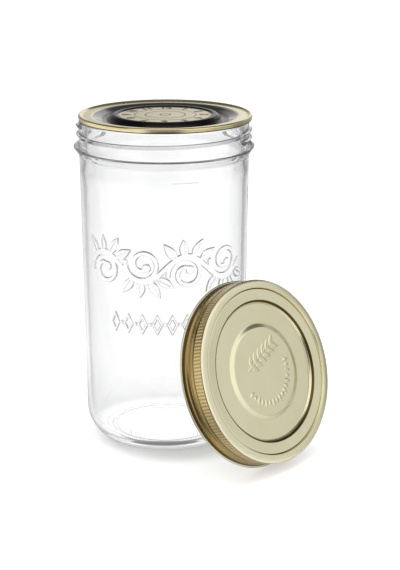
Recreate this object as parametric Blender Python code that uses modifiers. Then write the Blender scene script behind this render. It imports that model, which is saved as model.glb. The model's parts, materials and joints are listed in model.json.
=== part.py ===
"""A wide-mouth glass storage jar with a pressed metal capsule resting on its mouth, the ring of
sealing compound under that capsule, and the one-piece screw lid leaning against the jar.
Metres, +Z up. The origin is the centre of the jar's foot, on the surface that the jar stands on."""

import math

import bmesh
import bpy
from mathutils import Euler

# Driving dimensions, in metres and degrees

# Every turned piece has the same number of sides, so neighbours nest facet to facet
turn_steps = 60
touch_gap = 0.0003

# Jar: the outer body, from the foot up to the bead below the neck
neck_radius = 0.0539
body_taper = 0.0023
body_height = 0.1856
heel_height = 0.0198
heel_width = 0.0157
foot_width = 0.0048
punt_height = 0.0024
glass_wall = 0.0034
floor_thickness = 0.0042
inner_heel_radius = 0.0120

# Jar: the bead that stops the lid's edge
bead_projection = 0.0033
bead_rise = 0.0050
bead_land = 0.0008
bead_fillet = 0.0011

# Jar: the neck finish
neck_height = 0.0171
mouth_wall = 0.0046
lip_corner = 0.0016
inner_neck_blend = 0.0070

# Jar: the screw thread on the neck
thread_turns = 1.6
thread_height = 0.0022
thread_section = 0.0016
thread_bottom_land = 0.0042
thread_top_land = 0.0046
thread_fade_turns = 0.07
thread_start_angle = 335.0

# Capsule: a thin pressed disc that closes the mouth
capsule_sheet = 0.0003
capsule_overhang = 0.0011
capsule_skirt = 0.0026
capsule_shift = 0.0008
flange_ridge_height = 0.0009
flange_ridge_width = 0.0026
well_clearance = 0.0030
well_depth = 0.0027

# Sealing ring: the compound that lines the capsule's flange
seal_thickness = 0.0009
seal_width = 0.0036
seal_chamfer = 0.0003

# Lid: one piece of tinplate with a rolled edge, a rolled thread and a knurled band
lid_sheet = 0.00035
lid_running_clearance = 0.00075
lid_bead_clearance = 0.00255
lid_corner = 0.0030
lid_panel_depth = 0.0021
lid_thread_depth = 0.0012
lid_thread_width = 0.0028
lid_thread_fade_turns = 0.12
lid_thread_start_angle = 50.0
curl_radius = 0.0010
knurl_width = 0.0046
knurl_step = 0.0003
knurl_land = 0.0009

# Lid: the side of the jar that it leans on, the way its face looks, and its tilt
lean_azimuth = 46.2
lid_azimuth = 47.8
lean_angle = 19.6

# Shares that shape the pressed faces and the foot, from the middle outward

# Foot: share of the foot's inner radius, share of the punt's height
punt_share = ((0.0, 1.0), (0.5, 0.8), (1.0, 0.0))

# Capsule: share of the well's mouth radius, share of the well's depth
well_share = ((0.0, -0.12), (0.69, -0.12), (0.71, 0.0), (0.78, 1.0), (0.8, 1.0), (1.0, 0.0))

# Lid: share of the flat face's radius, share of the panel's depth
lid_face_share = (
    (0.0, 0.52),
    (0.508, 0.52),
    (0.546, 1.0),
    (0.775, 1.0),
    (0.812, 0.33),
    (0.942, 0.33),
    (0.963, 0.0),
)

# Counts of points along the round stretches
corner_steps = 3
heel_steps = 7
thread_points_a_turn = 36
lid_skirt_rows = 6
curl_steps = 7

# Sizes that follow from the ones above

body_radius = neck_radius - body_taper
foot_radius = body_radius - heel_width
foot_inner_radius = foot_radius - foot_width
floor_level = punt_height + floor_thickness
bead_top = body_height + bead_rise + bead_land
bead_radius = neck_radius + bead_projection
mouth_height = bead_top + neck_height
bore_radius = neck_radius - mouth_wall
lip_middle = (bore_radius + neck_radius) / 2
thread_pitch = (neck_height - thread_bottom_land - thread_top_land) / thread_turns
seal_bottom = mouth_height + touch_gap
seal_top = seal_bottom + seal_thickness
flange_top = seal_top + touch_gap + capsule_sheet
capsule_top = flange_top + flange_ridge_height
capsule_radius = neck_radius + capsule_overhang
well_radius = bore_radius - well_clearance
lid_radius = neck_radius + thread_height + lid_running_clearance + lid_sheet
lid_face_radius = lid_radius - lid_corner
lid_height = capsule_top - bead_top + lid_sheet - lid_bead_clearance
knurl_top = lid_height - lid_corner - knurl_land
knurl_bottom = knurl_top - knurl_width
lid_thread_zone_top = knurl_bottom - 2 * knurl_step
lid_thread_zone_bottom = 2 * curl_radius
lid_thread_turns = (lid_thread_zone_top - lid_thread_zone_bottom - lid_thread_width) / thread_pitch


def body_radius_at(height):
    """The jar's outer radius on its straight wall, which widens evenly from the heel to the bead."""
    return body_radius + body_taper * (height - heel_height) / (body_height - heel_height)


def arc(centre, radii, start, end, steps):
    """Points on an arc of an ellipse in the plane of a turned profile, as (radius, height) pairs."""
    points = []
    for step in range(steps + 1):
        angle = math.radians(start + (end - start) * step / steps)
        points.append((centre[0] + radii[0] * math.cos(angle), centre[1] + radii[1] * math.sin(angle)))
    return points


def make_material(name, colour, roughness, metallic, transmission=0.0):
    material = bpy.data.materials.new(name)
    material.use_nodes = True
    shader = material.node_tree.nodes["Principled BSDF"]
    shader.inputs["Base Color"].default_value = (*colour, 1.0)
    shader.inputs["Roughness"].default_value = roughness
    shader.inputs["Metallic"].default_value = metallic
    shader.inputs["Transmission Weight"].default_value = transmission
    material.diffuse_color = (*colour, 1.0)
    return material


def make_collection(name):
    collection = bpy.data.collections.new(name)
    bpy.context.scene.collection.children.link(collection)
    return collection


def add_object(name, data, collection):
    item = bpy.data.objects.new(name, data)
    collection.objects.link(item)
    return item


def mesh_of(item, name):
    """The object's evaluated shape as a new mesh, with loose caps welded and faces pointing out."""
    bpy.context.view_layer.update()
    depsgraph = bpy.context.evaluated_depsgraph_get()
    mesh = bpy.data.meshes.new_from_object(item.evaluated_get(depsgraph))
    mesh.name = name
    weld_distance = touch_gap / 100
    shape = bmesh.new()
    shape.from_mesh(mesh)
    bmesh.ops.remove_doubles(shape, verts=shape.verts, dist=weld_distance)
    shape.to_mesh(mesh)
    shape.free()
    return mesh


def turned(name, profile, collection, material):
    """A profile of (radius, height) points turned about the Z axis, smooth but for its sharp edges."""
    outline = bpy.data.meshes.new(name + "_outline")
    corners = [(radius, 0.0, height) for radius, height in profile]
    outline.from_pydata(corners, [(i, i + 1) for i in range(len(corners) - 1)], [])
    guide = add_object(name + "_outline", outline, collection)
    screw = guide.modifiers.new("turn", "SCREW")
    screw.steps = turn_steps
    screw.render_steps = turn_steps
    screw.use_merge_vertices = True
    screw.merge_threshold = touch_gap / 100
    mesh = mesh_of(guide, name)
    bpy.data.objects.remove(guide)
    mesh.shade_smooth()
    mesh.set_sharp_from_angle(angle=math.radians(30))
    mesh.materials.append(material)
    return add_object(name, mesh, collection)


def add_sheet(item, thickness):
    """Gives an open turned surface the thickness of its sheet, on the inner side."""
    sheet = item.modifiers.new("sheet", "SOLIDIFY")
    sheet.thickness = thickness
    sheet.offset = -1
    sheet.use_even_offset = True


def fade(turn, turns, fade_turns):
    """One along a thread, easing to zero over the last stretch at either end."""
    share = min(turn, turns - turn) / fade_turns
    share = min(max(share, 0.0), 1.0)
    return share * share * (3 - 2 * share)


def jar_profile():
    """Up the inside from the middle of the floor, over the lip, and down the outside to the punt."""
    inner_foot = body_radius_at(heel_height) - glass_wall
    inner_neck_height = bead_top - inner_neck_blend
    inner_shoulder = body_radius_at(inner_neck_height) - glass_wall
    inner_heel_base = floor_level - punt_height * punt_share[1][1]
    points = [(0.0, floor_level)]
    points += arc(
        (inner_foot - inner_heel_radius, inner_heel_base + inner_heel_radius),
        (inner_heel_radius, inner_heel_radius), -90, 0, heel_steps)
    points.append((inner_shoulder, inner_neck_height))
    points.append((bore_radius, bead_top))
    corner = (lip_corner, lip_corner)
    points += arc((bore_radius + lip_corner, mouth_height - lip_corner), corner, 180, 90, corner_steps)
    points += arc((neck_radius - lip_corner, mouth_height - lip_corner), corner, 90, 0, corner_steps)
    fillet = (bead_fillet, bead_fillet)
    points += arc((neck_radius + bead_fillet, bead_top + bead_fillet), fillet, 180, 270, corner_steps)
    points.append((bead_radius - bead_land / 2, bead_top))
    points.append((bead_radius, bead_top - bead_land))
    points.append((neck_radius + bead_projection / 3, body_height + bead_rise / 4))
    points.append((neck_radius, body_height))
    points += arc((foot_radius, heel_height), (heel_width, heel_height), 0, -90, heel_steps)
    points += [(foot_inner_radius * radius, punt_height * rise) for radius, rise in reversed(punt_share)]
    return points


def thread_guide(collection):
    """The centre line of the neck's thread: one start, right-handed, fading out at both ends."""
    data = bpy.data.curves.new("neck_thread_line", "CURVE")
    data.dimensions = "3D"
    data.bevel_depth = thread_section
    data.bevel_resolution = 1
    data.use_fill_caps = True
    count = round(thread_turns * thread_points_a_turn) + 1
    spline = data.splines.new("POLY")
    spline.points.add(count - 1)
    for index, point in enumerate(spline.points):
        turn = thread_turns * index / (count - 1)
        angle = math.radians(thread_start_angle) + math.tau * turn
        strength = fade(turn, thread_turns, thread_fade_turns)
        width = (1 + 2 * strength) / 3
        radius = neck_radius + thread_height * strength - thread_section * width
        height = bead_top + thread_bottom_land + thread_pitch * turn
        point.co = (radius * math.cos(angle), radius * math.sin(angle), height, 1.0)
        point.radius = width
    return add_object("neck_thread_line", data, collection)


def make_jar(parts, cutters):
    glass = make_material("clear_glass", (0.93, 0.94, 0.94), 0.02, 0.0, 1.0)
    jar = turned("glass_jar", jar_profile(), parts, glass)
    line = thread_guide(cutters)
    thread = add_object("neck_thread", mesh_of(line, "neck_thread"), cutters)
    thread.matrix_world = line.matrix_world.copy()
    bpy.data.objects.remove(line)
    thread.hide_render = True
    thread.display_type = "WIRE"
    union = jar.modifiers.new("neck_thread", "BOOLEAN")
    union.operation = "UNION"
    union.solver = "EXACT"
    union.object = thread
    return jar


def capsule_profile():
    """The capsule's upper surface, from the middle out to the lower edge of its short skirt."""
    points = [(well_radius * radius, flange_top - well_depth * depth) for radius, depth in well_share]
    points.append((capsule_radius - flange_ridge_width, flange_top))
    half_ridge = flange_ridge_width / 2
    ridge_radii = (half_ridge, flange_ridge_height)
    points += arc((capsule_radius - half_ridge, flange_top), ridge_radii, 135, 0, corner_steps)
    points.append((capsule_radius, capsule_top - capsule_skirt))
    return points


def make_capsule(parts, centre):
    gold = make_material("gold_lacquered_tinplate", (0.80, 0.70, 0.42), 0.25, 1.0)
    capsule = turned("capsule_disc", capsule_profile(), parts, gold)
    add_sheet(capsule, capsule_sheet)
    capsule.parent = centre
    return capsule


def seal_profile():
    """A closed section: flat on top under the flange, with its lower corners cut back."""
    inner = lip_middle - seal_width / 2
    outer = lip_middle + seal_width / 2
    return [
        (inner, seal_top),
        (outer, seal_top),
        (outer, seal_bottom + seal_chamfer),
        (outer - seal_chamfer, seal_bottom),
        (inner + seal_chamfer, seal_bottom),
        (inner, seal_bottom + seal_chamfer),
        (inner, seal_top),
    ]


def make_seal(parts, centre):
    compound = make_material("sealing_compound", (0.62, 0.58, 0.50), 0.6, 0.0)
    seal = turned("sealing_ring", seal_profile(), parts, compound)
    seal.parent = centre
    return seal


def lid_profile():
    """The lid's outer surface above its open edge, from the middle of the face to the end of the curl."""
    points = [(lid_face_radius * radius, lid_height - lid_panel_depth * depth) for radius, depth in lid_face_share]
    points += arc((lid_face_radius, lid_height - lid_corner), (lid_corner, lid_corner), 90, 0, corner_steps)
    points.append((lid_radius, knurl_top + knurl_step))
    points.append((lid_radius - knurl_step, knurl_top))
    points.append((lid_radius - knurl_step, knurl_bottom))
    points.append((lid_radius, knurl_bottom - knurl_step))
    drop = lid_thread_zone_top - lid_thread_zone_bottom
    for row in range(lid_skirt_rows + 1):
        points.append((lid_radius, lid_thread_zone_top - drop * row / lid_skirt_rows))
    hollow = curl_radius - lid_sheet
    points += arc((lid_radius + hollow, curl_radius), (hollow, hollow), 180, 430, curl_steps)
    return points


def lid_thread_push(angle, height):
    """How far the rolled thread pushes the skirt inward at one angle and height."""
    push = 0.0
    for lap in range(2):
        turn = (math.degrees(angle) - lid_thread_start_angle) % 360 / 360 + lap
        middle = lid_thread_zone_bottom + lid_thread_width / 2 + thread_pitch * turn
        share = abs(height - middle) / (lid_thread_width / 2)
        if turn < lid_thread_turns and share < 1:
            strength = fade(turn, lid_thread_turns, lid_thread_fade_turns)
            push = max(push, lid_thread_depth * strength * (1 + math.cos(math.pi * share)) / 2)
    return push


def roll_lid_thread(lid):
    """Moves the skirt's points inward along the thread, which has the pitch of the neck's thread."""
    for vertex in lid.data.vertices:
        radius = math.hypot(vertex.co.x, vertex.co.y)
        on_skirt = abs(radius - lid_radius) < knurl_step / 3
        if on_skirt and lid_thread_zone_bottom < vertex.co.z < lid_thread_zone_top:
            push = lid_thread_push(math.atan2(vertex.co.y, vertex.co.x), vertex.co.z)
            vertex.co.x *= 1 - push / radius
            vertex.co.y *= 1 - push / radius


def leaning_place(lid, rotation):
    """Where the tilted lid's middle goes, so that its edge meets the ground and the jar's wall."""
    spots = [rotation @ vertex.co for vertex in mesh_of(lid, "lid_check").vertices]
    height = -min(spot.z for spot in spots)
    azimuth = math.radians(lean_azimuth)
    reach = 0.0
    for spot in spots:
        along = spot.x * math.sin(azimuth) - spot.y * math.cos(azimuth)
        across = spot.x * math.cos(azimuth) + spot.y * math.sin(azimuth)
        wall = body_radius_at(spot.z + height) + touch_gap
        if abs(across) < wall:
            reach = max(reach, math.sqrt(wall * wall - across * across) - along)
    return (reach * math.sin(azimuth), -reach * math.cos(azimuth), height)


def make_lid(parts, lean):
    gold = make_material("pale_gold_tinplate", (0.78, 0.74, 0.55), 0.28, 1.0)
    lid = turned("screw_lid", lid_profile(), parts, gold)
    roll_lid_thread(lid)
    add_sheet(lid, lid_sheet)
    lean.rotation_euler = (math.radians(90 - lean_angle), 0.0, math.radians(lid_azimuth))
    lean.location = leaning_place(lid, Euler(lean.rotation_euler).to_matrix())
    lid.parent = lean
    return lid


def build():
    for item in list(bpy.data.objects):
        bpy.data.objects.remove(item)
    parts = make_collection("glass_storage_jar")
    cutters = make_collection("joined_shapes")
    make_jar(parts, cutters)
    capsule_centre = add_object("capsule_centre", None, parts)
    capsule_centre.location = (capsule_shift, 0.0, 0.0)
    make_capsule(parts, capsule_centre)
    make_seal(parts, capsule_centre)
    lid_lean = add_object("lid_lean", None, parts)
    make_lid(parts, lid_lean)
    bpy.context.view_layer.update()
    print("lid stands at", tuple(round(place, 5) for place in lid_lean.location))


build()
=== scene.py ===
# %% [markdown]
# Glass storage jar with a gold capsule and a gold screw lid
#
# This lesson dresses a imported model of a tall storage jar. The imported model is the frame: it says how
# large each piece is, where it stands and what moves. The script adds the fine surface of every piece:
# pressed glass with a raised ornament, lacquered tinplate with rolled edges, and the studio around them.

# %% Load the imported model
import json
import math

import bpy
import numpy as np
from mathutils import Matrix, Vector


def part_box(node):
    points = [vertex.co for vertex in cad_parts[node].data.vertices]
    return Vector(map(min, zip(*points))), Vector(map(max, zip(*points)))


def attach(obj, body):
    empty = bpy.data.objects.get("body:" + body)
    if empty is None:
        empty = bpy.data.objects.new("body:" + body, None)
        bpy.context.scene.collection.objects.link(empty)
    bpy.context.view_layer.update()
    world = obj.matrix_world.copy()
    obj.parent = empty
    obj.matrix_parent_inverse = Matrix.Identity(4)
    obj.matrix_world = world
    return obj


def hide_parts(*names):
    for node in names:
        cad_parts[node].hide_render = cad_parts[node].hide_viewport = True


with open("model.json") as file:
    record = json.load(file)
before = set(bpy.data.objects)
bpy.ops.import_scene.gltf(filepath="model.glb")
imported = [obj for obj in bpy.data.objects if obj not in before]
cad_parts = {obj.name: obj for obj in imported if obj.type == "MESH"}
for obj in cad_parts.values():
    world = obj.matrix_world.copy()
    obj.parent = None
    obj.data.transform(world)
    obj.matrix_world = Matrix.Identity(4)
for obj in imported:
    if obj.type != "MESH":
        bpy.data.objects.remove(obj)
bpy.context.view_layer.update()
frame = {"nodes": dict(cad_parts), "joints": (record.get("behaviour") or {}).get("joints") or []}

mm = 0.001

# %% [markdown]
# The camera
#
# A product photograph of a jar is taken from a little above, with a long lens, so that the mouth shows as
# a flat ellipse and the walls stay nearly upright. The camera stands about a metre away and looks down by
# sixteen degrees. Its focal length is given in pixels of the picture's height and then turned into the
# millimetres that Blender wants for its 36 mm sensor.

# %% Camera
picture_height = 570
focal_pixels = 1572.35
sensor_width = 36.0
camera_tilt = math.radians(16.07)
camera_place = Vector((22.7 * mm, -982.3 * mm, 381.5 * mm))


def add_object(name, data):
    """An object in the scene that shows some data: a camera, a lamp, a mesh or a text."""
    item = bpy.data.objects.new(name, data)
    bpy.context.scene.collection.objects.link(item)
    return item


def add_camera():
    data = bpy.data.cameras.new("studio_camera")
    data.sensor_width = sensor_width
    data.lens = focal_pixels / picture_height * sensor_width
    data.clip_start = 10 * mm
    camera = add_object("studio_camera", data)
    camera.location = camera_place
    camera.rotation_euler = (math.pi / 2 - camera_tilt, 0.0, 0.0)
    bpy.context.scene.camera = camera
    return camera


camera = add_camera()
print("lens", round(camera.data.lens, 1), "mm, tilted down", round(math.degrees(camera_tilt), 1), "degrees")

# %% [markdown]
# Colours are written as they look, and Blender works with linear light
#
# A colour picked from a picture is stored in the sRGB curve. Shader sockets expect linear values, so one
# small function does the conversion and every colour below can be read as an ordinary 0 to 255 triple.

# %% Colour helper
white = (1.0, 1.0, 1.0, 1.0)


def colour(red, green, blue):
    """Linear RGBA from the 0 to 255 numbers of a picture."""
    linear = []
    for part in (red / 255, green / 255, blue / 255):
        linear.append(part / 12.92 if part <= 0.04045 else ((part + 0.055) / 1.055) ** 2.4)
    return (*linear, 1.0)


print("a middle grey of 128 is", round(colour(128, 128, 128)[0], 3), "of white in linear light")

# %% [markdown]
# Small helpers for node trees
#
# A shader is a tree of nodes, and most of its lines only make a node, set its values and join it to the
# last one. These helpers do the three in one call, so that each line below reads as one step of a sum.

# %% Node helpers
grid_columns = 8
grid_step = 220
grid_left = -1800


def feed(tree, sockets, values):
    """Link each socket to an output or set it to a value; None leaves a socket as it is."""
    for socket, value in zip(sockets, values):
        if isinstance(value, bpy.types.NodeSocket):
            tree.links.new(value, socket)
        elif value is not None:
            socket.default_value = value


def add_node(tree, kind, **values):
    """A node in the next free place of a simple grid; its properties and sockets are given by name."""
    row, column = divmod(len(tree.nodes), grid_columns)
    node = tree.nodes.new(kind)
    node.location = (grid_left + grid_step * column, -grid_step * row)
    for name, value in values.items():
        if hasattr(node, name):
            setattr(node, name, value)
        else:
            feed(tree, [node.inputs[name.replace("_", " ").title()]], [value])
    return node


def add_math(tree, operation, first, second=None):
    """A Math node whose two inputs are links or numbers; returns its output."""
    node = add_node(tree, "ShaderNodeMath", operation=operation)
    feed(tree, node.inputs, (first, second))
    return node.outputs[0]


def add_blend(tree, share, first, second):
    """A float Mix: first where share is 0 and second where it is 1."""
    node = add_node(tree, "ShaderNodeMix", data_type="FLOAT")
    feed(tree, node.inputs[:4], (share, None, first, second))
    return node.outputs[0]


def add_ramp(tree, value, low, high, to_low=0.0, to_high=1.0):
    """A smooth Map Range from low..high to to_low..to_high; returns its output."""
    node = add_node(
        tree, "ShaderNodeMapRange", interpolation_type="SMOOTHSTEP", value=value,
        from_min=low, from_max=high, to_min=to_low, to_max=to_high)
    return node.outputs["Result"]


# %% Node helpers for directions and places


def add_vector(tree, operation, vector, other=None):
    """A Vector Math node fed by a link and, where it needs one, by three numbers; returns its output."""
    node = add_node(tree, "ShaderNodeVectorMath", operation=operation)
    feed(tree, node.inputs, (vector, other))
    return node.outputs["Value" if operation in ("DOT_PRODUCT", "DISTANCE") else "Vector"]


def add_split(tree, vector):
    """The three coordinates of a vector link."""
    return tuple(add_node(tree, "ShaderNodeSeparateXYZ", vector=vector).outputs)


def add_noise(tree, where, scale, detail):
    """Smooth noise at each place, from 0 to 1."""
    return add_node(tree, "ShaderNodeTexNoise", vector=where, scale=scale, detail=detail).outputs["Fac"]


def add_bump(tree, shader, height, strength, distance):
    """A Bump node that turns a height into the shader's normal."""
    node = add_node(tree, "ShaderNodeBump", strength=strength, distance=distance)
    tree.links.new(height, node.inputs["Height"])
    tree.links.new(node.outputs["Normal"], shader.inputs["Normal"])


def add_disc(tree, where, middle, reach, at_middle, outside):
    """One value round a point, which runs smoothly into another away from it."""
    away = add_vector(tree, "DISTANCE", where, middle)
    return add_ramp(tree, away, *reach, at_middle, outside)


# %% New materials and node groups


def new_material(name):
    """A material, its node tree and its Principled shader."""
    material = bpy.data.materials.new(name)
    material.use_nodes = True
    tree = material.node_tree
    return material, tree, tree.nodes["Principled BSDF"]


def new_group(name, inputs, outputs):
    """An empty shader node group. A number makes a float input, three numbers make a vector input."""
    group = bpy.data.node_groups.new(name, "ShaderNodeTree")
    for label, value in inputs.items():
        kind = "NodeSocketVector" if isinstance(value, tuple) else "NodeSocketFloat"
        group.interface.new_socket(label, in_out="INPUT", socket_type=kind).default_value = value
    for label in outputs:
        group.interface.new_socket(label, in_out="OUTPUT", socket_type="NodeSocketFloat")
    start = add_node(group, "NodeGroupInput")
    end = add_node(group, "NodeGroupOutput")
    return group, start, end


# %% [markdown]
# The studio: a white sweep that metal and glass can see
#
# Clear glass and polished metal have almost no colour of their own. They show their surroundings, so the
# surroundings have to be right. One node group answers how bright the studio is in a direction, once for
# metal and once for glass.
#
# Metal finds white walls with three dimmer patches, a dark band above the walls that is open toward the
# front, a softbox overhead, and a dark card in front, where the photographer stands. Glass looks almost
# straight through to the white sweep, and where it bends the view further aside it finds the dim ends of
# the studio, which draws its edges and its relief. Beyond those ends and toward the front the studio is
# bright again, so that light which turns round inside the thick heel doesn't come back black.

# %% Studio levels and directions
band_low = (0.38, 0.48)
band_level = 0.14
band_open = (-0.2, -0.45)
band_open_level = 0.95
band_skew = 0.6
softbox_edge = (0.9, 1.1)
softbox_lean = 0.9
softbox_level = 1.0
# a patch is the direction of its middle, the cosines between which it fades in, and its brightness
dim_patches = (
    ((-0.5, 0.78, 0.38), (0.78, 0.97), 0.3),
    ((1.0, 0.0, 0.0), (0.78, 0.97), 0.68),
    ((0.72, 0.69, -0.08), (0.76, 0.94), 0.4))
front_card = ((0.0, -0.995, 0.1), (0.84, 0.965), 0.12)
# each end of the window that glass sees: where it dims and how far, where it turns dark and how dark
window_ends = (
    ((-0.39, -0.48), 0.55, (-0.54, -0.66), 0.22),
    ((0.34, 0.42), 0.5, (0.5, 0.62), 0.22))
window_open = 0.92
window_beyond = (0.9, 0.97)
window_front = (-0.12, 0.08)
window_top = (0.55, 0.85)
window_top_level = 0.75
print("metal finds", len(dim_patches), "dim patches and a card, glass finds", len(window_ends), "dim ends")

# %% How bright metal finds the studio


def add_patch(group, unit, patch):
    """One on the plain wall, falling to the patch's own level round its middle."""
    middle, spread, level = patch
    toward = add_vector(group, "DOT_PRODUCT", unit, middle)
    return add_ramp(group, toward, *spread, 1.0, level)


def metal_level(group, unit, across, depth, high):
    """How bright metal finds the studio."""
    walls = add_ramp(group, high, *band_low, 1.0, 0.0)
    skew = add_math(group, "MULTIPLY", across, band_skew)
    skew = add_math(group, "SUBTRACT", depth, skew)
    opened = add_ramp(group, skew, *band_open, 0.0, band_open_level)
    lit = add_math(group, "MAXIMUM", walls, opened)
    for patch in dim_patches:
        lit = add_math(group, "MULTIPLY", lit, add_patch(group, unit, patch))
    lean = add_math(group, "MULTIPLY", depth, softbox_lean)
    overhead = add_math(group, "SUBTRACT", high, lean)
    softbox = add_ramp(group, overhead, *softbox_edge, 0.0, softbox_level)
    lit = add_math(group, "MAXIMUM", lit, softbox)
    card = add_patch(group, unit, front_card)
    lit = add_math(group, "MULTIPLY", lit, card)
    return add_math(group, "MAXIMUM", lit, band_level)


# %% How bright glass finds the studio


def glass_level(group, across, depth, high):
    """How bright glass finds the studio."""
    sides = window_open
    for near, level, far, dark in window_ends:
        dim = add_ramp(group, across, *near, 1.0, level)
        deep = add_ramp(group, across, *far, 1.0, dark / level)
        side = add_math(group, "MULTIPLY", dim, deep)
        sides = add_math(group, "MULTIPLY", side, sides)
    aside = add_math(group, "ABSOLUTE", across)
    beyond = add_ramp(group, aside, *window_beyond)
    in_front = add_ramp(group, depth, *window_front, 1.0, 0.0)
    sides = add_math(group, "MAXIMUM", sides, beyond)
    sides = add_math(group, "MAXIMUM", sides, in_front)
    top = add_ramp(group, high, *window_top, 1.0, window_top_level)
    return add_math(group, "MULTIPLY", sides, top)


# %% Studio group


def make_studio_light():
    group, start, end = new_group("studio_light", {"Direction": (0.0, 0.0, 1.0)}, ("For Metal", "For Glass"))
    unit = add_vector(group, "NORMALIZE", start.outputs["Direction"])
    across, depth, high = add_split(group, unit)
    feed(group, end.inputs, (
        metal_level(group, unit, across, depth, high), glass_level(group, across, depth, high)))
    return group


studio_light = make_studio_light()


def add_studio_light(tree, direction):
    """The group in a tree, fed by a direction; returns its levels for metal and for glass."""
    node = add_node(tree, "ShaderNodeGroup", node_tree=studio_light, direction=direction)
    return node.outputs["For Metal"], node.outputs["For Glass"]


print("studio group has", len(studio_light.nodes), "nodes")

# %% [markdown]
# The world
#
# A ray that comes straight from the camera finds plain white. Every other ray finds the studio.

# %% World


def add_world():
    world = bpy.data.worlds.new("white_studio")
    bpy.context.scene.world = world
    world.use_nodes = True
    tree = world.node_tree
    tree.nodes.clear()
    direction = add_node(tree, "ShaderNodeTexCoord")
    metal, glassy = add_studio_light(tree, direction.outputs["Generated"])
    path = add_node(tree, "ShaderNodeLightPath")
    studio = add_blend(tree, path.outputs["Is Transmission Ray"], metal, glassy)
    strength = add_math(tree, "MAXIMUM", studio, path.outputs["Is Camera Ray"])
    background = add_node(tree, "ShaderNodeBackground", strength=strength)
    background.inputs["Color"].default_value = white
    add_node(tree, "ShaderNodeOutputWorld", surface=background.outputs[0])
    return world


add_world()
bpy.context.scene.view_settings.view_transform = "Standard"
print("world: softbox overhead at", softbox_level, "of white")

# %% [markdown]
# The floor
#
# The jar stands on a smooth white table that runs out of sight. Its own shading keeps the soft shadow and
# a faint reflection of the foot. A little light of its own, seen only by rays from the camera, from metal
# and through glass, lifts the open floor to plain white without adding any light to the object. Round the
# foot the camera finds less of it, as a contact shadow, and glass finds more, as a foot gathers light.
#
# For metal and glass the table fades with the studio's walls. Metal also finds it dimmer beside the jar
# on the left, a painted pool of shade, and far to the right, painted shade too. Glass finds it dimmer where
# it is seen steeply, because a smooth table is brightest at a low angle, where it mirrors the sweep behind
# it. Right under the jar that is eased, and along the foot's front edge the table is dimmer again, a
# painted contact shadow, which draws the line that the jar stands on.

# %% Floor sizes
floor_half_width = 4.0
floor_gap = 0.03 * mm
floor_white = 0.8
floor_roughness = 0.22
floor_glow = 0.42
open_glow = 0.5
contact_glow = 0.16
contact_middle = (5 * mm, -14 * mm, 0.0)
contact_reach = (36 * mm, 56 * mm)
gathered_glow = 0.86
gathered_reach = (38 * mm, 60 * mm)
foot_middle = (0.0, 0.0, 0.0)
foot_reach = (52 * mm, 62 * mm)
print("the contact shadow ends", round(contact_reach[1] / mm), "mm from its middle")

# %% The floor as metal and glass find it
metal_middle = (0.0, 0.0, 40 * mm)
# painted shade for metal: a pool beside the jar on the left, and the table far to the right
shade_pool_middle = (-60 * mm, 0.0, 0.0)
shade_pool_reach = (20 * mm, 170 * mm)
shade_pool_level = 0.3
shaded_floor_right = (40 * mm, 120 * mm)
shaded_floor_right_level = 0.6
floor_metal_level = 0.9
glass_middle = (0.0, -150 * mm, 40 * mm)
steep_view = (0.32, 0.5)
steep_level = 0.15
foot_ease = 0.24
foot_ease_behind = (-38 * mm, -34 * mm)
# a painted contact shadow along the foot's front edge, seen through glass
front_edge_shadow = (-38 * mm, -33 * mm)
front_edge_shadow_dim = 0.5


def metal_floor(tree, where, right):
    """How bright metal finds the table."""
    offset = add_vector(tree, "SUBTRACT", where, metal_middle)
    level = add_studio_light(tree, offset)[0]
    # a painted pool of shade beside the jar, and painted shade far to the right
    shade_pool = add_disc(tree, where, shade_pool_middle, shade_pool_reach, shade_pool_level, 1.0)
    side = add_ramp(tree, right, *shaded_floor_right, floor_metal_level, shaded_floor_right_level)
    level = add_math(tree, "MULTIPLY", level, shade_pool)
    return add_math(tree, "MULTIPLY", level, side)


def glass_floor(tree, where, back):
    """How bright glass finds the table."""
    offset = add_vector(tree, "SUBTRACT", where, glass_middle)
    level = add_studio_light(tree, offset)[1]
    tilt = add_node(tree, "ShaderNodeLayerWeight", blend=0.5)
    eased = add_disc(tree, where, foot_middle, foot_reach, foot_ease, 0.0)
    behind = add_ramp(tree, back, *foot_ease_behind)
    eased = add_math(tree, "MULTIPLY", eased, behind)
    view = add_math(tree, "ADD", tilt.outputs["Facing"], eased)
    steep = add_ramp(tree, view, *steep_view, steep_level, 1.0)
    near = add_disc(tree, where, foot_middle, foot_reach, 1.0, 0.0)
    # a painted contact shadow along the foot's front edge
    edge = add_ramp(tree, back, *front_edge_shadow, front_edge_shadow_dim, 0.0)
    edge = add_math(tree, "MULTIPLY", edge, near)
    edge = add_math(tree, "SUBTRACT", 1.0, edge)
    level = add_math(tree, "MULTIPLY", level, steep)
    return add_math(tree, "MULTIPLY", level, edge)


# %% Floor


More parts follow.
